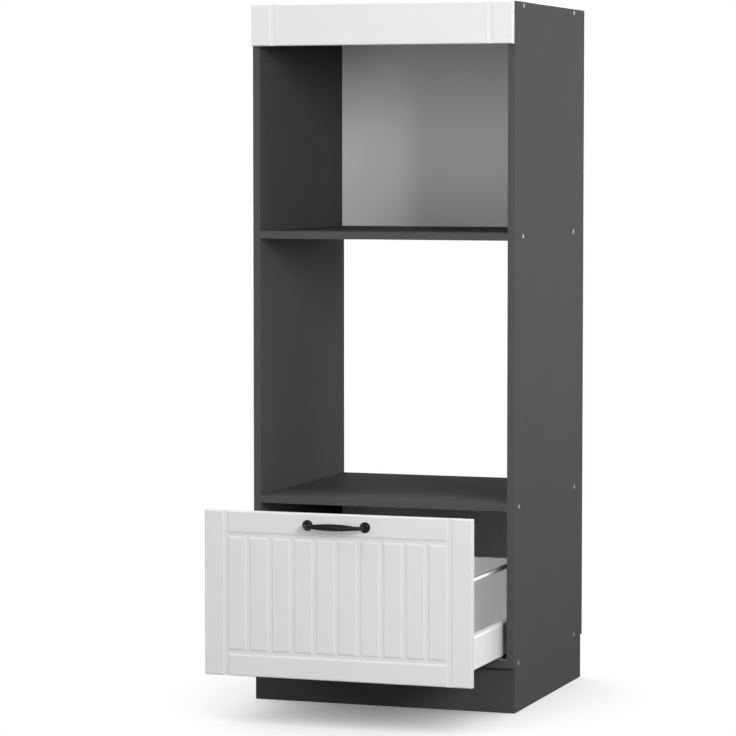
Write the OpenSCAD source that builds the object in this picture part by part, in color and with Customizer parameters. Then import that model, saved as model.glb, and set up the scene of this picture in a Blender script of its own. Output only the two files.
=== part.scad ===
// Tall kitchen housing for a built-in oven with a microwave niche above it and one deep drawer below.
// Laminated board carcass on a plinth box, milled fascia and drawer front, steel drawer sides on rollers.
// Frame, in millimetres: X to the right, Y to the rear, Z up. The origin is on the floor, in the middle
// of the bottom front edge of the plinth. The drawer is drawn closed and then pulled out by drawer_open.

/* [Carcass] */
// Width over the side panels
cabinet_width = 600; // [500:1:800]
// Depth of the side panels
carcass_depth = 554; // [520:1:640]
// Thickness of the laminated boards
board = 16; // [15:0.5:19]
// Thickness of the edging glued on the visible front edges
edging = 0.8; // [0.4:0.1:2]
// Clear height of the drawer bay
drawer_bay_height = 325; // [310:1:380]
// Clear height of the oven niche
oven_niche_height = 568; // [540:1:620]
// Clear height from the microwave shelf to the top panel
microwave_niche_height = 480; // [400:1:560]

/* [Plinth] */
// Height of the plinth box
plinth_height = 99; // [80:1:150]
// Distance from the carcass front back to the plinth front
plinth_setback = 10; // [5:1:50]
// Distance from the carcass rear forward to the plinth rear
plinth_rear_setback = 12; // [5:1:60]

/* [Back panels] */
// Thickness of the hardboard back panels
back_thickness = 3; // [2.5:0.1:4]
// Distance from the rear edge of the boards to the back panel
back_inset = 10; // [8:1:20]
// Depth of the grooves that hold the back panels
back_groove = 6; // [4:0.5:8]

/* [Fronts] */
// Thickness of the milled fascia and drawer front
front_thickness = 16; // [15:0.5:19]
// Margin between a front and the outer face of a side panel
front_margin = 2; // [1:0.5:4]
// Height of the fascia
fascia_height = 91; // [85:1:120]
// Height of the drawer front
drawer_front_height = 353; // [340:1:358]
// Height of the lower edge of the drawer front above the underside of the carcass
drawer_front_lift = 3; // [0:0.5:5]
// Radius of the front edges
edge_radius = 3; // [1:0.5:5]

/* [Milling] */
// Width of a milled groove at the surface
groove_width = 15; // [10:0.5:18]
// Width of the flat floor of a groove
groove_floor = 6.5; // [3:0.5:8]
// Depth of a groove
groove_depth = 1.5; // [1:0.1:4]
// Distance from the side edge of a front to the middle of its stile groove
stile_width = 49; // [35:1:70]
// Distance from the top edge of the drawer front to the middle of the upper cross groove
top_rail_width = 51.5; // [45:0.5:80]
// Distance from the bottom edge of the drawer front to the middle of the lower cross groove
bottom_rail_width = 51; // [35:0.5:80]
// Number of slats between the stile grooves
slat_count = 10; // [6:1:14]

/* [Carcass screws] */
// Distance of the front screws of the top and microwave shelf from the carcass front
upper_screw_inset = 65; // [30:1:100]
// Distance between the front and rear screws of the top and microwave shelf
upper_screw_pitch = 402; // [300:1:420]
// Distance of the front screws of the oven shelf and bottom from the carcass front
lower_screw_inset = 38; // [30:1:60]
// Distance between the front and rear screws of the oven shelf and bottom
lower_screw_pitch = 447; // [300:1:450]
// Length of a carcass screw
confirmat_length = 50; // [40:1:60]
// Diameter of the neck of a carcass screw
confirmat_neck = 7; // [6:0.5:8]
// Diameter of the threaded core of a carcass screw
confirmat_core = 5; // [4:0.5:5.5]
// Diameter of the head of a carcass screw
confirmat_head = 9.6; // [9:0.2:11]

/* [Small screws] */
// Diameter of the shank of a board screw
screw_shank = 3.4; // [3:0.1:4]
// Diameter of the head of a board screw
screw_head = 6.8; // [6:0.1:8]
// Height of the head of a board screw
screw_head_height = 2.2; // [1.8:0.1:3]
// Length of a board screw under its head
screw_length = 14; // [10:0.5:14.5]

/* [Angle brackets] */
// Length of each leg of an angle bracket
bracket_leg = 30; // [26:1:40]
// Width of an angle bracket
bracket_width = 40; // [30:1:50]
// Thickness of an angle bracket
bracket_thickness = 2; // [1.5:0.1:3]

/* [Drawer] */
// How far the drawer stands open at rest
drawer_open = 281; // [0:1:320]
// Length of the steel drawer sides
drawer_length = 450; // [400:1:480]
// Gap between the carcass front and the closed drawer front
closed_gap = 2; // [1.5:0.1:3]
// Thickness of the stop pads on the drawer front
pad_thickness = 1.7; // [1:0.1:1.8]
// Diameter of the stop pads
pad_diameter = 10; // [8:0.5:14]
// Height of the drawer back above the drawer bottom
drawer_back_height = 178; // [150:1:180]

/* [Steel drawer sides] */
// Space between a side panel and the steel drawer side
runner_gap = 13; // [11:0.5:16]
// Height of the lower edge of the steel side above the bottom panel
steel_side_lift = 9.5; // [9:0.5:12]
// Height of the steel side
steel_side_height = 71; // [60:1:90]
// Width of the steel side over both walls
steel_side_width = 18.4; // [18.4:0.1:22]
// Thickness of the drawer side sheet
side_sheet = 1.2; // [1:0.1:1.3]
// Outer radius of the upper edges of the steel side
side_top_radius = 5; // [3:0.5:6]
// Width of the flange that carries the drawer bottom
bottom_flange = 20; // [15:1:25]

/* [Runner] */
// Length of the runner rail
rail_length = 450; // [420:1:480]
// Distance from the carcass front to the runner rail
rail_inset = 5; // [1:0.5:8]
// Thickness of the runner rail sheet
rail_sheet = 1.5; // [1.2:0.1:1.6]
// Height of the screw flange of the runner rail
rail_flange_height = 28; // [24:1:34]
// Clear space under the runner rail
rail_lift = 1; // [0.5:0.1:1.5]
// Diameter of the rollers
roller_diameter = 16; // [14:0.5:17]
// Play between a roller and its track
roller_play = 0.3; // [0.2:0.05:0.5]
// Width of the rear rollers, which run in the rail
rear_roller_width = 5; // [4:0.1:5]
// Width of the front rollers, which carry the drawer side
front_roller_width = 4; // [3:0.1:4]
// Diameter of the roller pins
pin_diameter = 4; // [3:0.1:4.5]
// Distance from the end of the runner to the roller axis
roller_end_distance = 14; // [12:0.5:18]
// Travel of the drawer from closed to fully open
drawer_travel = 345; // [300:1:350]

/* [Gallery rails] */
// Diameter of the gallery rails
gallery_diameter = 10; // [6:0.5:11]
// Height of the gallery rail axis above the upper edge of the steel side
gallery_height = 117; // [100:1:125]
// Length of the sockets that hold the gallery rails
socket_length = 12; // [8:0.5:16]
// Wall of the sockets
socket_wall = 2; // [1.5:0.1:3]

/* [Handle] */
// Distance between the handle screws
handle_centres = 128; // [96:1:160]
// Distance from the top edge of the drawer front to the handle screws
handle_drop = 25; // [20:0.5:30]
// Distance from the drawer front to the axis of the grip
handle_reach = 26; // [22:0.5:35]
// Diameter of the grip at its middle
grip_diameter = 15; // [12:0.5:16]
// Diameter of the grip at its ends
grip_end_diameter = 8; // [6:0.5:9]
// Diameter of the rosettes
rosette_diameter = 23; // [20:0.5:28]
// Diameter of the handle screws
handle_screw = 4; // [3:0.5:4]

/* [Hidden] */

$fn = 48;
fit = 0.05;              // radial clearance of a screw or pin in its hole
slip = 0.5;              // clearance of a board or panel that slides into place
past = 1;                // how far a cutter reaches past the face it cuts

anthracite = "#4b4d4b";
milled_white = "#e6e6e2";
hardboard_white = "#dcdcd8";
sheet_white = "#ececea";
zinc = "#b9bcc0";
bright_plate = "#d6d8da";
grey_nylon = "#d6d6d2";
satin_black = "#232323";

// Carcass planes
outer_x = cabinet_width / 2;
inner_x = outer_x - board;
front_y = -plinth_setback;
rear_y = front_y + carcass_depth;
bottom_top = plinth_height + board;
oven_floor = bottom_top + drawer_bay_height + board;
microwave_floor = oven_floor + oven_niche_height + board;
cabinet_height = microwave_floor + microwave_niche_height + board;
back_y = rear_y - back_inset - back_thickness;

// Plinth planes
plinth_rear_y = rear_y - plinth_rear_setback;

// Fronts
front_width = cabinet_width - 2 * front_margin;
fascia_z = cabinet_height - fascia_height;
drawer_front_z = plinth_height + drawer_front_lift;
drawer_front_top = drawer_front_z + drawer_front_height;
groove_x = front_width / 2 - stile_width;
slat_pitch = 2 * groove_x / slat_count;

// Carcass screws: a countersunk head that ends flush with the side panel
confirmat_head_height = 3;
socket_flats = 4;
socket_depth = 2.4;

// Drawer planes, closed
drawer_y = front_y - closed_gap;
drawer_end_y = drawer_y + drawer_length;
steel_outer_x = inner_x - runner_gap;
steel_inner_x = steel_outer_x - steel_side_width;
steel_z = bottom_top + steel_side_lift;
steel_top = steel_z + steel_side_height;
drawer_floor_z = steel_z + side_sheet;
drawer_floor_top = drawer_floor_z + board;
back_front_y = drawer_end_y - board;
flange_bend = 0.3;       // inner radius where the steel side turns under the drawer bottom

// Runner: the rail stands inside the hollow steel side, with its foot under the outer wall
rail_y = front_y + rail_inset;
rail_z = bottom_top + rail_lift;
track_z = rail_z + rail_sheet;
roller_radius = roller_diameter / 2;
roller_z = track_z + roller_play + roller_radius;
guide_z = roller_z + roller_radius + roller_play;
side_gap = 0.8;
web_x = steel_inner_x + side_sheet + side_gap;
pin_head = 0.7;
pin_head_diameter = 7;
pin_shoulder_diameter = 6;
head_gap = 0.4;
roller_side_gap = 0.2;
rear_roller_x = web_x + rail_sheet + head_gap + pin_head + roller_side_gap;
guide_end_x = rear_roller_x + rear_roller_width + 0.6;
track_end_x = guide_end_x + 0.6;
hem_x = steel_outer_x - 2 * side_sheet;
front_roller_x = hem_x - head_gap - pin_head - roller_side_gap - front_roller_width;
front_roller_y = rail_y + roller_end_distance;
rear_roller_y = drawer_end_y - roller_end_distance;
stop_y = rear_roller_y - drawer_travel - roller_radius - roller_play;
stop_size = [4, 6, 5];

// Back bracket: a stamped plate behind the drawer back, with a tab that carries the rear roller
plate = 2;
tab_gap = 0.2;
tab_x = hem_x - tab_gap - plate;
tab_z = track_z + 1.5;
plate_overlap = 30;
plate_chamfer = 20;
plate_inner_x = steel_inner_x - plate_overlap;
plate_screw_x = steel_inner_x - plate_overlap / 2;
plate_screw_from = 22;
plate_screw_pitch = 60;

// Gallery rails and their sockets
gallery_x = (steel_outer_x + steel_inner_x) / 2;
gallery_z = steel_top + gallery_height;
plate_top = gallery_z + gallery_diameter / 2 + socket_wall + 2;
socket_base = 2.5;
socket_base_height = 36;
socket_base_width = 14;
socket_screw_offset = 12;

// Front bracket: an angle in the front end of the hollow side, above the rail
front_bracket_z = guide_z + rail_sheet + 5;
front_bracket_height = steel_top - side_top_radius - front_bracket_z;
front_bracket_depth = 45;
front_bracket_screw = 9;

// Handle
handle_z = drawer_front_top - handle_drop;
handle_y = drawer_y - front_thickness;
grip_half = handle_centres / 2;
end_radius = grip_end_diameter / 2;
elbow = 12;
bead_radius = 1.3;
rosette_height = 5;
rosette_rim = 1.6;
leg_flare = 2.5;
handle_thread = 9;
handle_screw_head = 7.5;
handle_screw_head_height = 2.6;

// ---- Shared shapes -------------------------------------------------------------------------------

// A board given by its lowest and highest corner
module board_box(low, high) {
    translate(low) cube(high - low);
}

// Runs a flat X-Z outline along Y, from y for length
module along_y(y, length) {
    translate([0, y + length, 0]) rotate([90, 0, 0]) linear_extrude(length) children();
}

function heading(a, b) = (b - a) / norm(b - a);
function bend_radius(radii, i) = i > 0 && i < len(radii) + 1 ? radii[i - 1] : 0;

// Cross-section of a folded sheet of thickness t. Points run along its middle, with right-angle bends.
// radii holds the middle radius of each bend.
module folded(points, radii, t) {
    last = len(points) - 1;
    for (i = [0 : last - 1]) {
        d = heading(points[i], points[i + 1]);
        a = points[i] + d * bend_radius(radii, i);
        b = points[i + 1] - d * (i + 1 < last ? radii[i] : 0);
        translate(a) rotate(atan2(d[1], d[0])) translate([0, -t / 2]) square([norm(b - a), t]);
    }
    for (i = [1 : 1 : last - 1]) {
        before = heading(points[i - 1], points[i]);
        after = heading(points[i], points[i + 1]);
        r = radii[i - 1];
        left_turn = cross(before, after) > 0;
        start = left_turn ? -after : before;
        translate(points[i] + r * (after - before)) intersection() {
            difference() {
                circle(r + t / 2);
                circle(r - t / 2);
            }
            rotate(atan2(start[1], start[0])) square(r + t);
        }
    }
}

// Outline of a milled front seen from its edge: x is its height or width, y its depth from the face
module rounded_edge(width) {
    translate([0, edge_radius]) square([width, front_thickness - edge_radius]);
    translate([edge_radius, 0]) square([width - 2 * edge_radius, 2 * edge_radius]);
    for (x = [edge_radius, width - edge_radius]) translate([x, edge_radius]) circle(edge_radius);
}

// Blank of a milled front with its front edges rounded all round, face at y = 0, corner at the origin
module front_blank(width, height) {
    intersection() {
        linear_extrude(height) rounded_edge(width);
        translate([0, 0, height]) rotate([0, 90, 0]) linear_extrude(width) rounded_edge(height);
    }
}

// Cutter for one milled groove: runs along Z for length, centred on x = 0, face at y = 0
module groove(length) {
    slope = (groove_width - groove_floor) / 2;
    spread = groove_width / 2 + slope * past / groove_depth;
    linear_extrude(length) polygon([
        [-groove_floor / 2, groove_depth], [groove_floor / 2, groove_depth],
        [spread, -past], [-spread, -past]
    ]);
}

// The two stile grooves of a front, full height
module stile_grooves(height) {
    for (x = [-groove_x, groove_x]) translate([x, 0, -past]) groove(height + 2 * past);
}

// Carcass screw, head at z = 0, pointing along +Z. grow makes the cutter for its hole.
module confirmat(grow = 0) {
    cylinder(h = confirmat_head_height, d1 = confirmat_head + 2 * grow, d2 = confirmat_neck + 2 * grow);
    cylinder(h = board, d = confirmat_neck + 2 * grow);
    cylinder(h = confirmat_length + grow, d = confirmat_core + 2 * grow);
    if (grow > 0) translate([0, 0, -past]) cylinder(h = past, d = confirmat_head + 2 * grow);
}

// Places its child at the four screws of a board: z is the board's middle
module at_confirmats(z, inset, pitch) {
    for (side = [-1, 1], y = [inset, inset + pitch])
        translate([side * outer_x, front_y + y, z]) rotate([0, -90 * side, 0]) children();
}

module at_top_confirmats() {
    at_confirmats(cabinet_height - board / 2, upper_screw_inset, upper_screw_pitch) children();
}

module at_microwave_confirmats() {
    at_confirmats(microwave_floor - board / 2, upper_screw_inset, upper_screw_pitch) children();
}

module at_oven_confirmats() {
    at_confirmats(oven_floor - board / 2, lower_screw_inset, lower_screw_pitch) children();
}

module at_bottom_confirmats() {
    at_confirmats(bottom_top - board / 2, lower_screw_inset, lower_screw_pitch) children();
}

module confirmat_screw() {
    difference() {
        confirmat();
        translate([0, 0, -past])
            cylinder(h = socket_depth + past, d = socket_flats / cos(30), $fn = 6);
    }
}

// Board screw, seat at z = 0, pointing along +Z, with a domed cross-slot head
module board_screw() {
    slot = 0.9;
    difference() {
        translate([0, 0, -screw_head_height]) union() {
            cylinder(h = screw_head_height / 2, d1 = screw_head * 0.7, d2 = screw_head);
            translate([0, 0, screw_head_height / 2]) cylinder(h = screw_head_height / 2, d = screw_head);
        }
        for (turn = [0, 90]) rotate(turn)
            translate([-screw_head / 4, -slot / 2, -screw_head_height - past])
                cube([screw_head / 2, slot, past + screw_head_height * 0.6]);
    }
    cylinder(h = screw_length - 2, d = screw_shank);
    translate([0, 0, screw_length - 2]) cylinder(h = 2, d1 = screw_shank, d2 = screw_shank / 3);
}

// Cutter for the pilot hole of a board screw
module pilot() {
    translate([0, 0, -past]) cylinder(h = screw_length + past + fit, d = screw_shank + 2 * fit);
}

// Places its child at the four screws of an angle bracket
module at_bracket_screws() {
    reach = bracket_leg * 0.63;
    for (z = [0.25, 0.75] * bracket_width) {
        translate([bracket_thickness, reach, z]) rotate([0, -90, 0]) children();
        translate([reach, bracket_thickness, z]) rotate([90, 0, 0]) children();
    }
}

// Angle bracket in the corner of the planes x = 0 and y = 0, standing on z = 0
module angle_bracket() {
    middle = bracket_thickness / 2;
    difference() {
        linear_extrude(bracket_width)
            folded([[middle, bracket_leg], [middle, middle], [bracket_leg, middle]],
                [bracket_thickness], bracket_thickness);
        at_bracket_screws() pilot();
    }
}

// Both hands of a piece that is drawn on the right
module both_sides() {
    for (hand = [0, 1]) mirror([hand, 0, 0]) children();
}

module at_fascia_brackets() {
    both_sides() translate([inner_x, front_y, (fascia_z + cabinet_height - board - bracket_width) / 2])
        mirror([1, 0, 0]) children();
}

module at_plinth_corners() {
    z = (plinth_height - bracket_width) / 2;
    both_sides() {
        translate([inner_x, board, z]) mirror([1, 0, 0]) children();
        translate([inner_x, plinth_rear_y - board, z]) mirror([0, 1, 0]) mirror([1, 0, 0]) children();
    }
}

module at_plinth_top() {
    x = cabinet_width / 4;
    both_sides() {
        translate([x, board, plinth_height]) rotate([0, 90, 0]) children();
        translate([x, plinth_rear_y - board, plinth_height])
            mirror([0, 1, 0]) rotate([0, 90, 0]) children();
    }
}

// Everything that rides on the drawer is drawn closed and pulled out by this
module on_drawer() {
    translate([0, -drawer_open, 0]) children();
}

// ---- Carcass -------------------------------------------------------------------------------------

// Groove cutter for a back panel that stands between two heights
module back_groove_cut(low, high) {
    board_box([-inner_x - back_groove, back_y, low - back_groove],
        [inner_x + back_groove, back_y + back_thickness + fit, high + back_groove]);
}

module upper_groove() {
    back_groove_cut(microwave_floor, cabinet_height - board);
}

module lower_groove() {
    back_groove_cut(bottom_top, oven_floor - board);
}

// Right side panel, from the plinth to the top, with its edging left off the front edge
module side_panel() {
    difference() {
        board_box([inner_x, front_y + edging, plinth_height], [outer_x, rear_y, cabinet_height]);
        upper_groove();
        lower_groove();
        at_top_confirmats() confirmat(fit);
        at_microwave_confirmats() confirmat(fit);
        at_oven_confirmats() confirmat(fit);
        at_bottom_confirmats() confirmat(fit);
        at_fascia_brackets() at_bracket_screws() pilot();
        at_runner_screws() pilot();
    }
}

module side_right() {
    color(anthracite) side_panel();
}

module side_left() {
    color(anthracite) mirror([1, 0, 0]) side_panel();
}

module top_panel() {
    color(anthracite) difference() {
        board_box([-inner_x, front_y, cabinet_height - board], [inner_x, rear_y, cabinet_height]);
        upper_groove();
        at_top_confirmats() confirmat(fit);
    }
}

module microwave_shelf() {
    color(anthracite) difference() {
        board_box([-inner_x, front_y + edging, microwave_floor - board],
            [inner_x, rear_y, microwave_floor]);
        upper_groove();
        at_microwave_confirmats() confirmat(fit);
    }
}

module oven_shelf() {
    color(anthracite) difference() {
        board_box([-inner_x, front_y + edging, oven_floor - board], [inner_x, rear_y, oven_floor]);
        lower_groove();
        at_oven_confirmats() confirmat(fit);
    }
}

module bottom_panel() {
    color(anthracite) difference() {
        board_box([-inner_x, front_y + edging, plinth_height], [inner_x, rear_y, bottom_top]);
        lower_groove();
        at_bottom_confirmats() confirmat(fit);
        at_plinth_top() at_bracket_screws() pilot();
    }
}

// Back panel that fills its groove between two heights and stands on the groove's floor
module back_panel(low, high) {
    x = inner_x + back_groove - slip;
    board_box([-x, back_y, low - back_groove], [x, back_y + back_thickness, high + back_groove - slip]);
}

module back_panel_upper() {
    color(hardboard_white) back_panel(microwave_floor, cabinet_height - board);
}

module back_panel_lower() {
    color(hardboard_white) back_panel(bottom_top, oven_floor - board);
}

// Edging on the front edges of the sides, both shelves and the bottom
module edge_bands() {
    color(anthracite) {
        both_sides() board_box([inner_x, front_y, plinth_height],
            [outer_x, front_y + edging, cabinet_height]);
        for (top = [bottom_top, oven_floor, microwave_floor])
            board_box([-inner_x + fit, front_y, top - board], [inner_x - fit, front_y + edging, top]);
    }
}

// ---- Fascia --------------------------------------------------------------------------------------

module fascia() {
    color(milled_white) difference() {
        translate([-front_width / 2, front_y - front_thickness, fascia_z])
            front_blank(front_width, fascia_height);
        translate([0, front_y - front_thickness, fascia_z]) stile_grooves(fascia_height);
        at_fascia_brackets() at_bracket_screws() pilot();
    }
}

module fascia_brackets() {
    color(zinc) at_fascia_brackets() angle_bracket();
}

module fascia_screws() {
    color(zinc) at_fascia_brackets() at_bracket_screws() board_screw();
}

// ---- Plinth --------------------------------------------------------------------------------------

module plinth_front() {
    color(anthracite) difference() {
        board_box([-outer_x, 0, 0], [outer_x, board, plinth_height]);
        at_plinth_corners() at_bracket_screws() pilot();
        at_plinth_top() at_bracket_screws() pilot();
    }
}

module plinth_rear() {
    color(anthracite) difference() {
        board_box([-inner_x, plinth_rear_y - board, 0], [inner_x, plinth_rear_y, plinth_height]);
        at_plinth_corners() at_bracket_screws() pilot();
        at_plinth_top() at_bracket_screws() pilot();
    }
}

module plinth_side() {
    difference() {
        board_box([inner_x, board, 0], [outer_x, plinth_rear_y, plinth_height]);
        at_plinth_corners() at_bracket_screws() pilot();
    }
}

module plinth_side_right() {
    color(anthracite) plinth_side();
}

module plinth_side_left() {
    color(anthracite) mirror([1, 0, 0]) plinth_side();
}

module plinth_corner_brackets() {
    color(zinc) at_plinth_corners() angle_bracket();
}

module plinth_corner_screws() {
    color(zinc) at_plinth_corners() at_bracket_screws() board_screw();
}

module plinth_top_brackets() {
    color(zinc) at_plinth_top() angle_bracket();
}

module plinth_top_screws() {
    color(zinc) at_plinth_top() at_bracket_screws() board_screw();
}

// ---- Carcass screws ------------------------------------------------------------------------------

module confirmats_top() {
    color(zinc) at_top_confirmats() confirmat_screw();
}

module confirmats_microwave_shelf() {
    color(zinc) at_microwave_confirmats() confirmat_screw();
}

module confirmats_oven_shelf() {
    color(zinc) at_oven_confirmats() confirmat_screw();
}

module confirmats_bottom() {
    color(zinc) at_bottom_confirmats() confirmat_screw();
}

// ---- Runner rails and rollers ----------------------------------------------------------------------

// Screws along the flange of both runner rails
module at_runner_screws() {
    z = rail_z + rail_flange_height - screw_head;
    for (share = [0.08, 0.5, 0.92]) both_sides()
        translate([inner_x - rail_sheet, rail_y + rail_length * share, z]) rotate([0, 90, 0]) children();
}

// Right rail: a screw flange on the side panel, a foot under the drawer side, and a web with a guide
// flange over the rear roller. A pressed stop ends the drawer's travel.
module runner_rail() {
    half = rail_sheet / 2;
    difference() {
        along_y(rail_y, rail_length) folded([
            [inner_x - half, rail_z + rail_flange_height], [inner_x - half, rail_z + half],
            [web_x + half, rail_z + half], [web_x + half, guide_z + half], [guide_end_x, guide_z + half]
        ], [rail_sheet, rail_sheet, rail_sheet], rail_sheet);
        at_runner_screws() pilot();
        at_front_rollers() roller_pin_hole(front_roller_x - web_x);
    }
    translate([guide_end_x - stop_size[0], stop_y - stop_size[1], guide_z - stop_size[2]])
        cube(stop_size);
}

module runner_rail_right() {
    color(zinc) runner_rail();
}

module runner_rail_left() {
    color(zinc) mirror([1, 0, 0]) runner_rail();
}

module runner_screws() {
    color(zinc) at_runner_screws() board_screw();
}

// Roller with softly rounded rims, its axis along +X from x = 0
module roller(width) {
    rim = 0.6;
    rotate([0, 90, 0]) rotate_extrude() difference() {
        union() {
            square([roller_radius - rim, width]);
            translate([0, rim]) square([roller_radius, width - 2 * rim]);
            for (y = [rim, width - rim]) translate([roller_radius - rim, y]) circle(rim);
        }
        translate([-past, -past]) square([pin_diameter / 2 + fit + past, width + 2 * past]);
    }
}

// Pin that starts at x = 0, carries a roller from x = shoulder and ends in a riveted head
module roller_pin(foot, shoulder, width) {
    rotate([0, 90, 0]) {
        translate([0, 0, -foot]) cylinder(h = foot, d = pin_diameter);
        cylinder(h = shoulder, d = pin_shoulder_diameter);
        cylinder(h = shoulder + width + 2 * roller_side_gap, d = pin_diameter);
        translate([0, 0, shoulder + width + 2 * roller_side_gap])
            cylinder(h = pin_head, d = pin_head_diameter);
    }
}

// Cutter for the hole that a pin is riveted in, from the roller's near face back over reach
module roller_pin_hole(reach) {
    rotate([0, 90, 0]) translate([0, 0, -reach - past])
        cylinder(h = reach + past, d = pin_diameter + 2 * fit);
}

// Right front roller: the middle of its near face
module at_front_rollers() {
    translate([front_roller_x, front_roller_y, roller_z]) children();
}

// Right rear roller: its pin points inward from the bracket's tab
module at_rear_rollers() {
    translate([rear_roller_x + rear_roller_width, rear_roller_y, roller_z])
        mirror([1, 0, 0]) children();
}

module front_pin() {
    shoulder = front_roller_x - roller_side_gap - web_x - rail_sheet;
    at_front_rollers() translate([-shoulder - roller_side_gap, 0, 0])
        roller_pin(rail_sheet, shoulder, front_roller_width);
}

module rear_pin() {
    shoulder = tab_x - rear_roller_x - rear_roller_width - roller_side_gap;
    at_rear_rollers() translate([-shoulder - roller_side_gap, 0, 0])
        roller_pin(plate, shoulder, rear_roller_width);
}

module front_roller_pins() {
    color(zinc) both_sides() front_pin();
}

module rear_roller_pins() {
    color(zinc) on_drawer() both_sides() rear_pin();
}

module front_roller_right() {
    color(grey_nylon) at_front_rollers() roller(front_roller_width);
}

module front_roller_left() {
    color(grey_nylon) mirror([1, 0, 0]) at_front_rollers() roller(front_roller_width);
}

module rear_roller_right() {
    color(grey_nylon) on_drawer() at_rear_rollers() roller(rear_roller_width);
}

module rear_roller_left() {
    color(grey_nylon) on_drawer() mirror([1, 0, 0]) at_rear_rollers() roller(rear_roller_width);
}

// ---- Drawer front ----------------------------------------------------------------------------------

// Two cross grooves and the grooves between the slats, all between the stile grooves
module panel_grooves() {
    low = bottom_rail_width;
    high = drawer_front_height - top_rail_width;
    for (z = [low, high]) translate([-groove_x, 0, z]) rotate([0, 90, 0]) groove(2 * groove_x);
    for (i = [1 : slat_count - 1]) translate([i * slat_pitch - groove_x, 0, low]) groove(high - low);
}

module drawer_front() {
    color(milled_white) on_drawer() difference() {
        translate([-front_width / 2, handle_y, drawer_front_z])
            front_blank(front_width, drawer_front_height);
        translate([0, handle_y, drawer_front_z]) {
            stile_grooves(drawer_front_height);
            panel_grooves();
        }
        at_handle_screws() translate([0, 0, -past])
            cylinder(h = front_thickness + 2 * past, d = handle_screw + 6 * fit);
        at_front_bracket_screws() pilot();
        at_socket_screws() pilot();
    }
}

module stop_pads() {
    x = (outer_x + inner_x) / 2;
    heights = [drawer_front_z + pad_diameter, drawer_front_top - 2 * pad_diameter];
    color(grey_nylon) on_drawer() both_sides() for (z = heights)
        translate([x, drawer_y, z]) rotate([-90, 0, 0]) cylinder(h = pad_thickness, d = pad_diameter);
}

// ---- Drawer box ------------------------------------------------------------------------------------

// Right steel side: one folded sheet, open below, with a hemmed outer wall that ends in the roller track
module steel_side() {
    half = side_sheet / 2;
    top_bend = side_top_radius - half;
    difference() {
        along_y(drawer_y, drawer_length) {
            folded([
                [steel_outer_x - half, steel_z], [steel_outer_x - half, steel_top - half],
                [steel_inner_x + half, steel_top - half], [steel_inner_x + half, steel_z + half],
                [steel_inner_x - bottom_flange, steel_z + half]
            ], [top_bend, top_bend, half + flange_bend], side_sheet);
            folded([
                [hem_x + half, steel_z], [hem_x + half, guide_z + half], [track_end_x, guide_z + half]
            ], [side_sheet], side_sheet);
        }
        at_drawer_bottom_screws() pilot();
    }
}

module drawer_side_right() {
    color(sheet_white) on_drawer() steel_side();
}

module drawer_side_left() {
    color(sheet_white) on_drawer() mirror([1, 0, 0]) steel_side();
}

// Screws up through the flanges of both steel sides into the drawer bottom
module at_drawer_bottom_screws() {
    for (share = [0.12, 0.5, 0.88]) both_sides()
        translate([steel_inner_x - bottom_flange / 2, drawer_y + drawer_length * share, steel_z])
            children();
}

module drawer_bottom_screws() {
    color(zinc) on_drawer() at_drawer_bottom_screws() board_screw();
}

module drawer_bottom() {
    x = steel_inner_x - slip;
    color(hardboard_white) on_drawer() difference() {
        board_box([-x, drawer_y, drawer_floor_z], [x, drawer_end_y, drawer_floor_top]);
        at_drawer_bottom_screws() pilot();
    }
}

module drawer_back() {
    x = steel_inner_x - slip;
    color(hardboard_white) on_drawer() difference() {
        board_box([-x, back_front_y, drawer_floor_top],
            [x, drawer_end_y, drawer_floor_top + drawer_back_height]);
        at_plate_screws() pilot();
    }
}

// Screws through the back brackets into the rear face of the drawer back
module at_plate_screws() {
    for (i = [0 : 2]) both_sides()
        translate([plate_screw_x, drawer_end_y + plate,
            drawer_floor_top + plate_screw_from + i * plate_screw_pitch]) rotate([90, 0, 0]) children();
}

// Right back bracket: closes the rear end of the steel side, holds the drawer back and the gallery
// rail, and is notched where the runner rail passes through it
module back_bracket() {
    notch_x = [web_x - side_gap, track_end_x];
    notch_top = guide_z + rail_sheet + side_gap;
    difference() {
        union() {
            along_y(drawer_end_y, plate) polygon([
                [plate_inner_x, drawer_floor_z], [notch_x[0], drawer_floor_z], [notch_x[0], notch_top],
                [notch_x[1], notch_top], [notch_x[1], tab_z], [tab_x + plate, tab_z],
                [steel_outer_x, drawer_floor_z], [steel_outer_x, plate_top], [notch_x[0], plate_top],
                [plate_inner_x, plate_top - plate_chamfer]
            ]);
            board_box([tab_x, drawer_end_y - 2 * roller_end_distance + 4, tab_z],
                [tab_x + plate, drawer_end_y + plate, guide_z - tab_gap]);
        }
        at_plate_screws() pilot();
        at_rear_rollers() roller_pin_hole(tab_x + plate - rear_roller_x - rear_roller_width);
    }
}

module back_bracket_right() {
    color(sheet_white) on_drawer() back_bracket();
}

module back_bracket_left() {
    color(sheet_white) on_drawer() mirror([1, 0, 0]) back_bracket();
}

module back_bracket_screws() {
    color(zinc) on_drawer() at_plate_screws() board_screw();
}

// Front bracket: an angle with one leg on the drawer front and one on the outer wall of the side
module front_bracket() {
    half = plate / 2;
    wall_x = steel_outer_x - side_sheet;
    difference() {
        translate([0, 0, front_bracket_z]) linear_extrude(front_bracket_height) folded([
            [steel_inner_x + side_sheet + side_gap, drawer_y + half], [wall_x - half, drawer_y + half],
            [wall_x - half, drawer_y + front_bracket_depth]
        ], [plate], plate);
        at_front_bracket_screws() pilot();
    }
}

module at_front_bracket_screws() {
    middle = front_bracket_z + front_bracket_height / 2;
    for (z = [-1, 1] * front_bracket_height / 4) both_sides()
        translate([gallery_x - plate, drawer_y + plate, middle + z]) rotate([90, 0, 0]) children();
}

module front_brackets() {
    color(zinc) on_drawer() both_sides() front_bracket();
}

module front_bracket_screws() {
    color(zinc) on_drawer() at_front_bracket_screws() board_screw();
}

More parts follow.
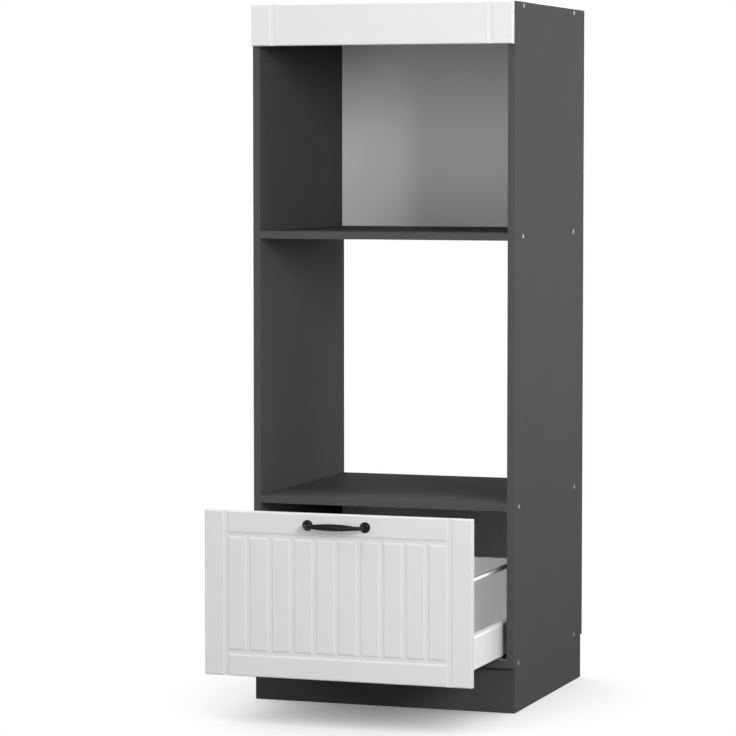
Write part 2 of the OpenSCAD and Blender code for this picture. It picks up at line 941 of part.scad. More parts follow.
// ---- Gallery rails ---------------------------------------------------------------------------------

module gallery_rail() {
    start = drawer_y + socket_base;
    end = drawer_end_y - socket_base;
    translate([gallery_x, start, gallery_z]) rotate([-90, 0, 0])
        cylinder(h = end - start, d = gallery_diameter);
}

module gallery_rail_right() {
    color(bright_plate) on_drawer() gallery_rail();
}

module gallery_rail_left() {
    color(bright_plate) on_drawer() mirror([1, 0, 0]) gallery_rail();
}

// Socket for a rail end, its base on y = 0 and its mouth along +Y
module rail_socket(base_height) {
    outer = gallery_diameter + 2 * fit + 2 * socket_wall;
    width = max(socket_base_width, outer);
    rotate([-90, 0, 0]) difference() {
        union() {
            linear_extrude(socket_base) {
                square([width, base_height - width], center = true);
                for (end = [-1, 1]) translate([0, end * (base_height - width) / 2]) circle(d = width);
            }
            cylinder(h = socket_length, d = outer);
        }
        translate([0, 0, socket_base]) cylinder(h = socket_length, d = gallery_diameter + 2 * fit);
    }
}

// Screws above and below each front socket
module at_socket_screws() {
    for (z = [-socket_screw_offset, socket_screw_offset]) both_sides()
        translate([gallery_x, drawer_y + socket_base, gallery_z + z]) rotate([90, 0, 0]) children();
}

module rail_sockets_front() {
    color(grey_nylon) on_drawer() difference() {
        both_sides() translate([gallery_x, drawer_y, gallery_z]) rail_socket(socket_base_height);
        at_socket_screws() pilot();
    }
}

module rail_sockets_rear() {
    size = gallery_diameter + 2 * socket_wall + 2 * fit;
    color(grey_nylon) on_drawer() both_sides()
        translate([gallery_x, drawer_end_y, gallery_z]) mirror([0, 1, 0])
            rail_socket(max(socket_base_width, size) + 2);
}

module rail_socket_screws() {
    color(zinc) on_drawer() at_socket_screws() board_screw();
}

// ---- Handle ----------------------------------------------------------------------------------------

// Both handle screws: seat on the rear face of the drawer front, pointing at the handle
module at_handle_screws() {
    both_sides() translate([grip_half, drawer_y, handle_z]) rotate([90, 0, 0]) children();
}

// Radius of the arc that rises by rise over half_chord
function arc_radius(half_chord, rise) = (half_chord * half_chord + rise * rise) / (2 * rise);

// Turned grip along X, centred, fattest in the middle, with a bead at each end
module grip() {
    length = grip_half - elbow;
    belly = arc_radius(length, grip_diameter / 2 - end_radius);
    rotate([0, 90, 0]) rotate_extrude() {
        intersection() {
            translate([grip_diameter / 2 - belly, 0]) circle(belly, $fn = 900);
            translate([0, -length]) square([grip_diameter, 2 * length]);
        }
        for (end = [-length, length]) translate([end_radius, end]) circle(bead_radius);
    }
}

// Right half of the mounting: domed rosette on the face, leg with a hollow flare and quarter-round elbow
module handle_leg() {
    leg = handle_reach - elbow;
    dome = arc_radius(rosette_diameter / 2, rosette_height - rosette_rim);
    hollow = arc_radius(leg, leg_flare);
    rotate([90, 0, 0]) {
        intersection() {
            cylinder(h = rosette_height, d = rosette_diameter);
            translate([0, 0, rosette_height - dome]) sphere(dome, $fn = 120);
        }
        rotate_extrude() difference() {
            square([end_radius + leg_flare, leg]);
            translate([end_radius + hollow, leg]) circle(hollow, $fn = 240);
        }
    }
    translate([-elbow, -leg, 0]) rotate([0, 0, -90]) rotate_extrude(angle = 90)
        translate([elbow, 0]) circle(end_radius);
}

module handle() {
    color(satin_black) on_drawer() difference() {
        translate([0, handle_y, handle_z]) {
            translate([0, -handle_reach, 0]) grip();
            both_sides() translate([grip_half, 0, 0]) handle_leg();
        }
        at_handle_screws() cylinder(h = front_thickness + handle_thread + fit, d = handle_screw + 2 * fit);
    }
}

module handle_screws() {
    recess = 2.2;
    color(zinc) on_drawer() at_handle_screws() difference() {
        union() {
            translate([0, 0, -handle_screw_head_height])
                cylinder(h = handle_screw_head_height, d = handle_screw_head);
            cylinder(h = front_thickness + handle_thread, d = handle_screw);
        }
        for (turn = [0, 90]) rotate(turn)
            translate([-recess, -0.5, -handle_screw_head_height - past]) cube([2 * recess, 1, past + 1.4]);
    }
}

// ---- Assembly --------------------------------------------------------------------------------------

side_left();
side_right();
top_panel();
microwave_shelf();
oven_shelf();
bottom_panel();
back_panel_upper();
back_panel_lower();
edge_bands();
fascia();
fascia_brackets();
fascia_screws();
plinth_front();
plinth_rear();
plinth_side_left();
plinth_side_right();
plinth_corner_brackets();
plinth_corner_screws();
plinth_top_brackets();
plinth_top_screws();
confirmats_top();
confirmats_microwave_shelf();
confirmats_oven_shelf();
confirmats_bottom();
runner_rail_left();
runner_rail_right();
runner_screws();
front_roller_pins();
front_roller_left();
front_roller_right();
rear_roller_left();
rear_roller_right();
rear_roller_pins();
drawer_front();
drawer_side_left();
drawer_side_right();
drawer_bottom();
drawer_back();
back_bracket_left();
back_bracket_right();
back_bracket_screws();
front_brackets();
front_bracket_screws();
drawer_bottom_screws();
gallery_rail_left();
gallery_rail_right();
rail_sockets_front();
rail_sockets_rear();
rail_socket_screws();
handle();
handle_screws();
stop_pads();
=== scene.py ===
import math

import bpy
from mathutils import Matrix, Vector


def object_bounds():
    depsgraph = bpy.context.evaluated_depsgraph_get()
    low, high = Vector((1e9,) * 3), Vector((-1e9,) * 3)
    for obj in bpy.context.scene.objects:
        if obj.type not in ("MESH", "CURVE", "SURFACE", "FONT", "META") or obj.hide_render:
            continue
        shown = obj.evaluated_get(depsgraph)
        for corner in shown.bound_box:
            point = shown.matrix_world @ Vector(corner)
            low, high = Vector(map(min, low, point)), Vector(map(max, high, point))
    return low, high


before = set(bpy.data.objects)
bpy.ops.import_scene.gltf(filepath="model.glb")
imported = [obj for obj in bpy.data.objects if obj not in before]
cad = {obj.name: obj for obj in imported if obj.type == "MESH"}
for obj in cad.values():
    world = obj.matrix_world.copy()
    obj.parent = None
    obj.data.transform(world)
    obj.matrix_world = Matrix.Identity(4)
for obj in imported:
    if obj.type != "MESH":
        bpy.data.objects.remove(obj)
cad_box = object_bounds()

scene = bpy.context.scene
scene.view_settings.view_transform = "Standard"


# ---- Camera ----------------------------------------------------------------------------------------
# Long lens from the right front, a little above the microwave shelf and pitched down, which is how
# the cabinet was photographed. No shift and no depth of field.

CAMERA_PLACE = (2.3171, -6.8081, 1.2241)
CAMERA_AZIMUTH = 19.069
CAMERA_PITCH = 3.82
LENS = 161.66
SENSOR_WIDTH = 36
FARTHEST_SEEN = 100

camera = bpy.data.objects.new("camera", bpy.data.cameras.new("camera"))
camera.data.lens = LENS
camera.data.sensor_width = SENSOR_WIDTH
camera.data.clip_end = FARTHEST_SEEN
camera.location = CAMERA_PLACE
camera.rotation_euler = (math.radians(90 - CAMERA_PITCH), 0, math.radians(CAMERA_AZIMUTH))
scene.collection.objects.link(camera)
scene.camera = camera


# ---- Floor and surround ----------------------------------------------------------------------------
# A white studio floor that runs into the white surround. The camera and clear reflections see both
# as white, and the floor near the cabinet shows a painted soft contact shadow, its glow dimmed by
# ambient occlusion. Other rays meet a grey floor and a weaker surround, so that neither floods the
# cabinet with light.

WHITE = (1, 1, 1, 1)
SURROUND_LIGHT = 0.26
FLOOR_HALF = 30.0
FLOOR_COLOUR = (0.25, 0.25, 0.25, 1)
SHADOW_REACH = 0.55
SHADOW_LEAN = (0.45, -0.25, 0.86)
SHADOW_SAMPLES = 16
SHADOW_EASE = 0.62
SHADOW_DARKEST = 0.04
SHADOW_LIGHTEST = 1.18
FADE_FROM = 0.75
FADE_TO = 1.9


def add(tree, kind, inputs=None, **settings):
    """A shader node with its settings, and its inputs given as values or as sockets to join."""
    made = tree.nodes.new(kind)
    for key, value in settings.items():
        setattr(made, key, value)
    for key, value in (inputs or {}).items():
        if isinstance(value, bpy.types.NodeSocket):
            tree.links.new(value, made.inputs[key])
        else:
            made.inputs[key].default_value = value
    return made


def seen_directly(tree):
    """1 for the camera and for clear reflections and transmissions, else 0."""
    path = add(tree, "ShaderNodeLightPath").outputs
    seen = add(tree, "ShaderNodeMath", {0: path["Is Camera Ray"], 1: path["Is Glossy Ray"]},
               operation="MAXIMUM").outputs[0]
    return add(tree, "ShaderNodeMath", {0: seen, 1: path["Is Transmission Ray"]},
               operation="MAXIMUM").outputs[0]


surround = bpy.data.worlds.new("surround")
surround.use_nodes = True
scene.world = surround
tree = surround.node_tree
tree.nodes.clear()
light = add(tree, "ShaderNodeBackground", {"Color": WHITE, "Strength": SURROUND_LIGHT})
shown = add(tree, "ShaderNodeBackground", {"Color": WHITE, "Strength": 1.0})
both = add(tree, "ShaderNodeMixShader",
           {0: seen_directly(tree), 1: light.outputs[0], 2: shown.outputs[0]})
add(tree, "ShaderNodeOutputWorld", {"Surface": both.outputs[0]})

floor_mesh = bpy.data.meshes.new("floor")
corners = [(x * FLOOR_HALF, y * FLOOR_HALF, 0) for x, y in ((-1, -1), (1, -1), (1, 1), (-1, 1))]
floor_mesh.from_pydata(corners, [], [(0, 1, 2, 3)])
floor = bpy.data.objects.new("floor", floor_mesh)
scene.collection.objects.link(floor)

floor_paint = bpy.data.materials.new("floor paint")
floor_paint.use_nodes = True
tree = floor_paint.node_tree
tree.nodes.clear()
place = add(tree, "ShaderNodeNewGeometry").outputs["Position"]
centre = (0, (cad_box[0].y + cad_box[1].y) / 2, 0)
away = add(tree, "ShaderNodeVectorMath", {0: place, 1: centre}, operation="DISTANCE").outputs["Value"]
fade = add(tree, "ShaderNodeMapRange", {"Value": away, "From Min": FADE_FROM, "From Max": FADE_TO},
           interpolation_type="SMOOTHSTEP").outputs[0]
# Painted contact shadow: the floor's glow is dimmed where ambient occlusion finds the cabinet, leaning to
# one side.
open_sky = add(tree, "ShaderNodeAmbientOcclusion", {"Distance": SHADOW_REACH, "Normal": SHADOW_LEAN},
               samples=SHADOW_SAMPLES).outputs["AO"]
eased = add(tree, "ShaderNodeMath", {0: open_sky, 1: SHADOW_EASE}, operation="POWER").outputs[0]
raised = add(tree, "ShaderNodeMapRange",
             {"Value": eased, "To Min": SHADOW_DARKEST, "To Max": SHADOW_LIGHTEST}).outputs[0]
shadow = add(tree, "ShaderNodeMath", {0: raised, 1: 1.0}, operation="MINIMUM").outputs[0]
near = add(tree, "ShaderNodeEmission", {"Color": WHITE, "Strength": shadow})
far = add(tree, "ShaderNodeEmission", {"Color": WHITE, "Strength": 1.0})
shown = add(tree, "ShaderNodeMixShader", {0: fade, 1: near.outputs[0], 2: far.outputs[0]})
matt = add(tree, "ShaderNodeBsdfDiffuse", {"Color": FLOOR_COLOUR})
both = add(tree, "ShaderNodeMixShader",
           {0: seen_directly(tree), 1: matt.outputs[0], 2: shown.outputs[0]})
add(tree, "ShaderNodeOutputMaterial", {"Surface": both.outputs[0]})
floor_mesh.materials.append(floor_paint)


# ---- Lamps -----------------------------------------------------------------------------------------
# Square soft boxes, all turned to the middle of the cabinet: a small key from the right front, a
# broad one in front that opens up the niches, two on the right side, one on the left, one behind and
# a small one high above the drawer. Places and edges are in metres, powers in watts.

MIDDLE = Vector((0, 0.1, 0.85))
SOFT_BOXES = (
    ("key lamp", (3.1, -3.0, 2.0), 1.35, 107),
    ("front lamp", (0.1, -4.3, 1.3), 3.0, 51),
    ("side lamp", (2.6, 0.6, 2.2), 1.4, 13),
    ("high side lamp", (3.5, 1.2, 3.4), 2.0, 30),
    ("left lamp", (-3.2, -1.2, 2.4), 2.0, 42),
    ("rear lamp", (1.6, 4.6, 1.1), 2.0, 50),
    ("top lamp", (0.2, -0.45, 4.0), 1.0, 45),
)

for name, place, edge, power in SOFT_BOXES:
    lamp = bpy.data.objects.new(name, bpy.data.lights.new(name, "AREA"))
    lamp.data.shape = "SQUARE"
    lamp.data.size = edge
    lamp.data.energy = power
    lamp.location = place
    lamp.rotation_euler = (MIDDLE - Vector(place)).to_track_quat("-Z", "Y").to_euler()
    scene.collection.objects.link(lamp)


# ---- Carcass boards --------------------------------------------------------------------------------
# Sides, top, both shelves and the bottom are 16 mm chipboard under an anthracite melamine film with
# a fine pearl structure, screwed together through the sides. The rear edges are left raw, as nobody
# sees them against the wall. Scales of patterns are per metre, reliefs and radii in metres.

FILM = (0.070, 0.075, 0.0735, 1)
FILM_LIGHTER = (0.079, 0.084, 0.083, 1)
CLOUDS = 7.0
CLOUD_CONTRAST = 0.62
SPECKS = 620.0
SPECKS_FROM = 0.12
SPECKS_FULL = 0.40
GLOSS_SPREAD = 0.06
CHIPS = 420.0
CHIP_STRETCH = (0.45, 0.45, 1.0)
CHIP_DUST = 900.0
DUST_SHARE = 0.5
CHIP_BROWNS = ((0.0, (0.40, 0.28, 0.17, 1)), (0.35, (0.49, 0.36, 0.22, 1)),
               (0.7, (0.60, 0.46, 0.31, 1)), (1.0, (0.68, 0.55, 0.39, 1)))
CHIP_ROUGHNESS = 0.9
BOARD_RELIEF = 0.00006
EASED_EDGE = 0.0005
EDGE_SAMPLES = 4
FACING_FROM = 0.90
FACING_FULL = 0.97


def group(name, inputs, outputs):
    """An empty shader group with sockets of given names and kinds. Returns it, its way in and out."""
    tree = bpy.data.node_groups.new(name, "ShaderNodeTree")
    for in_out, sockets in (("INPUT", inputs), ("OUTPUT", outputs)):
        for label, kind in sockets.items():
            tree.interface.new_socket(label, in_out=in_out, socket_type="NodeSocket" + kind)
    return tree, tree.nodes.new("NodeGroupInput"), tree.nodes.new("NodeGroupOutput")


def place_group(tree, made, inputs):
    """The outputs of a group that is placed in a material, with its inputs joined or set."""
    return add(tree, "ShaderNodeGroup", inputs, node_tree=made).outputs


def film_group():
    """Pearl structure of melamine film: a tone between two colours, a roughness and a height."""
    tree, given, out = group(
        "pearl film", {"Colour": "Color", "Lighter": "Color", "Pearl": "Float", "Gloss": "Float"},
        {"Colour": "Color", "Roughness": "Float", "Height": "Float"})
    where = add(tree, "ShaderNodeTexCoord").outputs["Object"]
    pearl = add(tree, "ShaderNodeTexVoronoi", {"Vector": where, "Scale": given.outputs["Pearl"]},
                feature="SMOOTH_F1")
    clouds = add(tree, "ShaderNodeTexNoise", {"Vector": where, "Scale": CLOUDS, "Detail": 5.0,
                                              "Roughness": CLOUD_CONTRAST}).outputs["Fac"]
    specks = add(tree, "ShaderNodeTexNoise", {"Vector": where, "Scale": SPECKS, "Detail": 3.0})
    blend = add(tree, "ShaderNodeMath", {0: clouds, 1: specks.outputs["Fac"]}, operation="MULTIPLY")
    share = add(tree, "ShaderNodeMapRange", {"Value": blend.outputs[0], "From Min": SPECKS_FROM,
                                             "From Max": SPECKS_FULL})
    tone = add(tree, "ShaderNodeMixRGB", {"Fac": share.outputs[0], "Color1": given.outputs["Colour"],
                                          "Color2": given.outputs["Lighter"]})
    spread = add(tree, "ShaderNodeMath", {0: clouds, 1: GLOSS_SPREAD, 2: given.outputs["Gloss"]},
                 operation="MULTIPLY_ADD")
    tree.links.new(tone.outputs[0], out.inputs["Colour"])
    tree.links.new(spread.outputs[0], out.inputs["Roughness"])
    tree.links.new(pearl.outputs["Distance"], out.inputs["Height"])
    return tree


def colour_ramp(tree, share, stops):
    """The colour between stops, each a place from 0 to 1 and a colour."""
    ramp = add(tree, "ShaderNodeValToRGB", {"Fac": share})
    elements = ramp.color_ramp.elements
    while len(elements) < len(stops):
        elements.new(0.5)
    for element, (place, colour) in zip(elements, stops):
        element.position = place
        element.color = colour
    return ramp.outputs[0]


def chipboard_group():
    """Raw chipboard: chips in several browns, pressed flat, with dust between them."""
    tree, given, out = group("raw chipboard", {"Chip": "Float"}, {"Colour": "Color", "Height": "Float"})
    where = add(tree, "ShaderNodeTexCoord").outputs["Object"]
    stretch = add(tree, "ShaderNodeMapping", {"Vector": where, "Scale": CHIP_STRETCH})
    chips = add(tree, "ShaderNodeTexVoronoi", {"Vector": stretch.outputs[0],
                                               "Scale": given.outputs["Chip"]})
    dust = add(tree, "ShaderNodeTexNoise", {"Vector": where, "Scale": CHIP_DUST, "Detail": 4.0})
    pick = add(tree, "ShaderNodeSeparateColor", {0: chips.outputs["Color"]})
    browns = colour_ramp(tree, pick.outputs[0], CHIP_BROWNS)
    dusty = add(tree, "ShaderNodeMixRGB", {"Fac": DUST_SHARE, "Color1": browns,
                                           "Color2": dust.outputs["Fac"]}, blend_type="SOFT_LIGHT")
    height = add(tree, "ShaderNodeMath", {0: chips.outputs["Distance"], 1: dust.outputs["Fac"]},
                 operation="ADD")
    tree.links.new(dusty.outputs[0], out.inputs["Colour"])
    tree.links.new(height.outputs[0], out.inputs["Height"])
    return tree


def facing_group():
    """1 on faces that look along an axis of the cabinet, else 0."""
    tree, given, out = group("facing", {"Axis": "Vector"}, {"Mask": "Float"})
    look = add(tree, "ShaderNodeNewGeometry").outputs["True Normal"]
    turn = add(tree, "ShaderNodeVectorMath", {0: look, 1: given.outputs["Axis"]},
               operation="DOT_PRODUCT").outputs["Value"]
    mask = add(tree, "ShaderNodeMapRange", {"Value": turn, "From Min": FACING_FROM,
                                            "From Max": FACING_FULL})
    tree.links.new(mask.outputs[0], out.inputs["Mask"])
    return tree


PEARL_FILM = film_group()
RAW_CHIPBOARD = chipboard_group()
FACING = facing_group()


def new_finish(name):
    """A material with a Principled shader, and its node tree and shader."""
    made = bpy.data.materials.new(name)
    made.use_nodes = True
    tree = made.node_tree
    tree.nodes.clear()
    shader = add(tree, "ShaderNodeBsdfPrincipled")
    add(tree, "ShaderNodeOutputMaterial", {"Surface": shader.outputs[0]})
    return made, tree, shader


def bump(tree, shader, height, relief, ease=EASED_EDGE):
    """Relief of the given depth, over edges that are eased by a radius."""
    eased = add(tree, "ShaderNodeBevel", {"Radius": ease}, samples=EDGE_SAMPLES).outputs[0]
    raised = add(tree, "ShaderNodeBump", {"Height": height, "Distance": relief, "Normal": eased})
    tree.links.new(raised.outputs[0], shader.inputs["Normal"])


def two_faces(tree, shader, mask, first, second, relief):
    """Joins two sets of colour, roughness and height: the first where the mask is 0, else the second."""
    colour = add(tree, "ShaderNodeMixRGB", {"Fac": mask, "Color1": first[0], "Color2": second[0]})
    rough = add(tree, "ShaderNodeMix", {"Factor": mask, "A": first[1], "B": second[1]})
    height = add(tree, "ShaderNodeMix", {"Factor": mask, "A": first[2], "B": second[2]})
    tree.links.new(colour.outputs[0], shader.inputs["Base Color"])
    tree.links.new(rough.outputs[0], shader.inputs["Roughness"])
    bump(tree, shader, height.outputs[0], relief)


def laminated_board(name, colour, lighter, raw_axis, gloss=0.64, shine=0.015, pearl=1400.0):
    """Melamine-faced chipboard, with raw chipboard on the edges that face along raw_axis."""
    made, tree, shader = new_finish(name)
    shader.inputs["Specular IOR Level"].default_value = shine
    film = place_group(tree, PEARL_FILM,
                       {"Colour": colour, "Lighter": lighter, "Gloss": gloss, "Pearl": pearl})
    raw = place_group(tree, RAW_CHIPBOARD, {"Chip": CHIPS})
    edge = place_group(tree, FACING, {"Axis": raw_axis})["Mask"]
    two_faces(tree, shader, edge, (film["Colour"], film["Roughness"], film["Height"]),
              (raw["Colour"], CHIP_ROUGHNESS, raw["Height"]), BOARD_RELIEF)
    return made


def dress(made, *names):
    """Gives CAD nodes a finish."""
    for name in names:
        mesh = cad[name].data
        mesh.materials.clear()
        mesh.materials.append(made)


dress(laminated_board("anthracite board", FILM, FILM_LIGHTER, (0, 1, 0)),
      "side_left", "side_right", "top_panel", "microwave_shelf", "oven_shelf", "bottom_panel")


# ---- Edging ----------------------------------------------------------------------------------------
# Strips of thin plastic edging in the colour of the boards, glued on their front edges and trimmed
# flush. The plastic is a touch lighter and glossier than the film, with a coarser structure.

EDGING = (0.074, 0.078, 0.076, 1)
EDGING_LIGHTER = (0.083, 0.088, 0.086, 1)
EDGING_SHINE = 0.04
EDGING_RELIEF = 0.00003


def filmed(name, colour, lighter, gloss, pearl):
    """A finish with the film's colour and roughness, its node tree and shader, and the film's height."""
    made, tree, shader = new_finish(name)
    film = place_group(tree, PEARL_FILM,
                       {"Colour": colour, "Lighter": lighter, "Gloss": gloss, "Pearl": pearl})
    tree.links.new(film["Colour"], shader.inputs["Base Color"])
    tree.links.new(film["Roughness"], shader.inputs["Roughness"])
    return made, tree, shader, film["Height"]


edging, tree, shader, height = filmed("anthracite edging", EDGING, EDGING_LIGHTER,
                                      gloss=0.5, pearl=700.0)
shader.inputs["Specular IOR Level"].default_value = EDGING_SHINE
bump(tree, shader, height, EDGING_RELIEF)
dress(edging, "edge_bands")


# ---- Back panels -----------------------------------------------------------------------------------
# Hardboard, 3 mm, slid into grooves of the sides, top and shelves: lacquered white towards the
# niche, bare brown fibre towards the wall.

LACQUER = (0.88, 0.88, 0.855, 1)
LACQUER_LIGHTER = (0.90, 0.90, 0.875, 1)
LACQUER_GLOSS = 0.5
LACQUER_PEARL = 500.0
FIBRES = 420.0
FIBRE_CURL = 1.4
FIBRE_BROWNS = ((0.3, (0.20, 0.115, 0.06, 1)), (0.7, (0.36, 0.23, 0.13, 1)))
FIBRE_ROUGHNESS = 0.85
HARDBOARD_RELIEF = 0.00008

hardboard, tree, shader = new_finish("hardboard")
face = place_group(tree, PEARL_FILM, {"Colour": LACQUER, "Lighter": LACQUER_LIGHTER,
                                      "Gloss": LACQUER_GLOSS, "Pearl": LACQUER_PEARL})
where = add(tree, "ShaderNodeTexCoord").outputs["Object"]
fibres = add(tree, "ShaderNodeTexNoise",
             {"Vector": where, "Scale": FIBRES, "Detail": 8.0, "Distortion": FIBRE_CURL}).outputs["Fac"]
brown = colour_ramp(tree, fibres, FIBRE_BROWNS)
niche_side = place_group(tree, FACING, {"Axis": (0, -1, 0)})["Mask"]
two_faces(tree, shader, niche_side, (brown, FIBRE_ROUGHNESS, fibres),
          (face["Colour"], face["Roughness"], face["Height"]), HARDBOARD_RELIEF)
dress(hardboard, "back_panel_upper", "back_panel_lower")


# ---- Plinth ----------------------------------------------------------------------------------------
# Four pieces of the same anthracite board, joined by steel angles to a low box under the carcass.
# Their lower edges, on which the cabinet stands, are raw.

dress(laminated_board("plinth board", FILM, FILM_LIGHTER, (0, 0, -1)),
      "plinth_front", "plinth_rear", "plinth_side_left", "plinth_side_right")


# ---- Fascia and drawer front -----------------------------------------------------------------------
# Milled fibreboard under a matt warm white film that is drawn over the grooves and rounded edges,
# which leaves a faint orange peel.

FOIL = (0.722, 0.722, 0.708, 1)
FOIL_LIGHTER = (0.740, 0.740, 0.726, 1)
FOIL_PEEL = 160.0
PEARL_OVER_PEEL = 0.25
FOIL_RELIEF = 0.00004

foil, tree, shader, height = filmed("white foil", FOIL, FOIL_LIGHTER, gloss=0.42, pearl=800.0)
where = add(tree, "ShaderNodeTexCoord").outputs["Object"]
peel = add(tree, "ShaderNodeTexNoise", {"Vector": where, "Scale": FOIL_PEEL, "Detail": 2.0})
skin = add(tree, "ShaderNodeMath", {0: height, 1: PEARL_OVER_PEEL, 2: peel.outputs["Fac"]},
           operation="MULTIPLY_ADD")
bump(tree, shader, skin.outputs[0], FOIL_RELIEF)
dress(foil, "fascia", "drawer_front")


# ---- Brackets, screws and runner rails -------------------------------------------------------------
# Steel angles, rails, screws and roller pins under zinc: bright and bluish on the small parts, dull
# on the carcass screws and greyer with a faint spangle on the galvanised rails, whose darker tone is
# partly the galvanised grey and partly painted shade for the gap beside the drawer.

ZINC = (0.60, 0.62, 0.65, 1)
ZINC_DULL = (0.50, 0.51, 0.53, 1)
SCREW_ZINC = (0.27, 0.275, 0.28, 1)
SCREW_ZINC_DULL = (0.19, 0.195, 0.20, 1)
RAIL_ZINC = (0.40, 0.41, 0.42, 1)
RAIL_ZINC_DULL = (0.30, 0.31, 0.32, 1)
SPANGLE = 420.0
ZINC_CLOUDS = 160.0
ZINC_RELIEF = 0.00003
ZINC_EDGE = 0.0002


def zinc_plated(name, bright, dull, smooth, rough):
    """Zinc plate between two tones and two roughnesses."""
    made, tree, shader = new_finish(name)
    where = add(tree, "ShaderNodeTexCoord").outputs["Object"]
    spangle = add(tree, "ShaderNodeTexVoronoi", {"Vector": where, "Scale": SPANGLE})
    clouds = add(tree, "ShaderNodeTexNoise",
                 {"Vector": where, "Scale": ZINC_CLOUDS, "Detail": 5.0}).outputs["Fac"]
    share = add(tree, "ShaderNodeMath", {0: spangle.outputs["Distance"], 1: clouds}, operation="MULTIPLY")
    tone = add(tree, "ShaderNodeMixRGB", {"Fac": share.outputs[0], "Color1": bright, "Color2": dull})
    spread = add(tree, "ShaderNodeMapRange", {"Value": clouds, "To Min": smooth, "To Max": rough})
    tree.links.new(tone.outputs[0], shader.inputs["Base Color"])
    tree.links.new(spread.outputs[0], shader.inputs["Roughness"])
    shader.inputs["Metallic"].default_value = 1.0
    bump(tree, shader, clouds, ZINC_RELIEF, ease=ZINC_EDGE)
    return made


dress(zinc_plated("bright zinc", ZINC, ZINC_DULL, smooth=0.22, rough=0.42),
      "fascia_brackets", "fascia_screws", "plinth_corner_brackets", "plinth_corner_screws",
      "plinth_top_brackets", "plinth_top_screws", "runner_screws", "front_roller_pins",
      "rear_roller_pins", "back_bracket_screws", "front_brackets", "front_bracket_screws",
      "drawer_bottom_screws", "rail_socket_screws", "handle_screws")
dress(zinc_plated("screw zinc", SCREW_ZINC, SCREW_ZINC_DULL, smooth=0.40, rough=0.55),
      "confirmats_top", "confirmats_microwave_shelf", "confirmats_oven_shelf", "confirmats_bottom")
# Darker zinc on the runner rails: partly the greyer galvanised tone, partly painted shade for the dark
# gap beside the drawer.
dress(zinc_plated("galvanised rail", RAIL_ZINC, RAIL_ZINC_DULL, smooth=0.38, rough=0.52),
      "runner_rail_left", "runner_rail_right")


# ---- Steel sides and back brackets -----------------------------------------------------------------
# Folded sheet steel with a white powder coat, baked on, with its fine orange peel and soft gloss.
# The sides run on the rollers, and the brackets at their rear ends hold the drawer's back.

COAT = (0.85, 0.85, 0.84, 1)
COAT_LIGHTER = (0.87, 0.87, 0.86, 1)
COAT_RELIEF = 0.00006

powder_coat, tree, shader, height = filmed("white powder coat", COAT, COAT_LIGHTER,
                                           gloss=0.30, pearl=1100.0)
bump(tree, shader, height, COAT_RELIEF)
dress(powder_coat, "drawer_side_left", "drawer_side_right", "back_bracket_left", "back_bracket_right")


# ---- Gallery rails ---------------------------------------------------------------------------------
# Drawn steel tube above each side of the drawer, ground along its length and plated, which gives it
# a satin shine with the finest of draw lines.

PLATE = (0.88, 0.88, 0.88, 1)
PLATE_DULL = (0.82, 0.825, 0.83, 1)
PLATE_SMOOTH = 0.36
PLATE_ROUGH = 0.46
DRAW_LINES = 1500.0
DRAWN_ALONG = (1.0, 0.02, 1.0)
PLATE_RELIEF = 0.000004

satin_plate, tree, shader = new_finish("satin plate")
where = add(tree, "ShaderNodeTexCoord").outputs["Object"]
along = add(tree, "ShaderNodeMapping", {"Vector": where, "Scale": DRAWN_ALONG}).outputs[0]
lines = add(tree, "ShaderNodeTexNoise",
            {"Vector": along, "Scale": DRAW_LINES, "Detail": 3.0}).outputs["Fac"]
tone = add(tree, "ShaderNodeMixRGB", {"Fac": lines, "Color1": PLATE, "Color2": PLATE_DULL})
rough = add(tree, "ShaderNodeMapRange", {"Value": lines, "To Min": PLATE_SMOOTH, "To Max": PLATE_ROUGH})
tree.links.new(tone.outputs[0], shader.inputs["Base Color"])
tree.links.new(rough.outputs[0], shader.inputs["Roughness"])
shader.inputs["Metallic"].default_value = 1.0
bump(tree, shader, lines, PLATE_RELIEF)
dress(satin_plate, "gallery_rail_left", "gallery_rail_right")


# ---- Rollers and rail sockets ----------------------------------------------------------------------
# Injection-moulded nylon, milky and slightly see-through, with the dull skin of the mould. The
# rollers turn on steel pins, and the sockets take the ends of the gallery rails.

NYLON = (0.70, 0.70, 0.68, 1)
NYLON_LIGHTER = (0.75, 0.75, 0.73, 1)
NYLON_MILKINESS = 0.15
NYLON_DEPTH = (0.002, 0.002, 0.0018)
NYLON_RELIEF = 0.00003

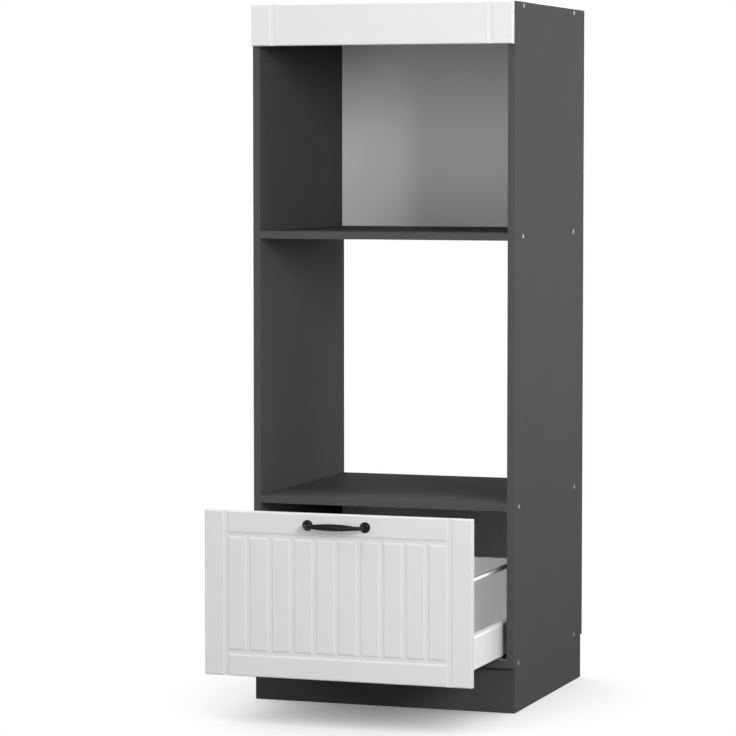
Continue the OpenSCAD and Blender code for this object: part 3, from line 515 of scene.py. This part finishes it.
nylon, tree, shader, height = filmed("moulded nylon", NYLON, NYLON_LIGHTER, gloss=0.42, pearl=900.0)
shader.inputs["Subsurface Weight"].default_value = NYLON_MILKINESS
shader.inputs["Subsurface Radius"].default_value = NYLON_DEPTH
bump(tree, shader, height, NYLON_RELIEF)
dress(nylon, "front_roller_left", "front_roller_right", "rear_roller_left", "rear_roller_right",
      "rail_sockets_front", "rail_sockets_rear")


# ---- Drawer bottom and back ------------------------------------------------------------------------
# White melamine-faced chipboard. The bottom lies on the flanges of the steel sides and has a raw
# rear edge. The back stands on it on a raw lower edge, screwed to the brackets.

WHITE_FILM = (0.87, 0.87, 0.86, 1)
WHITE_FILM_LIGHTER = (0.89, 0.89, 0.88, 1)

for name, raw_axis in (("drawer_bottom", (0, 1, 0)), ("drawer_back", (0, 0, -1))):
    dress(laminated_board("white board of " + name, WHITE_FILM, WHITE_FILM_LIGHTER, raw_axis,
                          gloss=0.42, shine=0.3, pearl=1200.0), name)


# ---- Handle ----------------------------------------------------------------------------------------
# Die-cast bow handle with a turned look and two round feet, under satin black lacquer, held by two
# screws through the drawer front.

BLACK = (0.004, 0.004, 0.004, 1)
BLACK_LIGHTER = (0.007, 0.007, 0.007, 1)
BLACK_SHINE = 0.16
BLACK_RELIEF = 0.00003

black_lacquer, tree, shader, height = filmed("satin black lacquer", BLACK, BLACK_LIGHTER,
                                             gloss=0.12, pearl=1500.0)
shader.inputs["Specular IOR Level"].default_value = BLACK_SHINE
bump(tree, shader, height, BLACK_RELIEF)
dress(black_lacquer, "handle")


# ---- Stop pads -------------------------------------------------------------------------------------
# Soft clear plastic buttons, stuck to the rear face of the drawer front, which damp its stop on the
# carcass.

PAD = (0.80, 0.80, 0.78, 1)
PAD_LIGHTER = (0.86, 0.86, 0.84, 1)
PAD_CLEARNESS = 0.5

pad_plastic, _, shader, _ = filmed("clear soft plastic", PAD, PAD_LIGHTER, gloss=0.22, pearl=600.0)
shader.inputs["Transmission Weight"].default_value = PAD_CLEARNESS
dress(pad_plastic, "stop_pads")
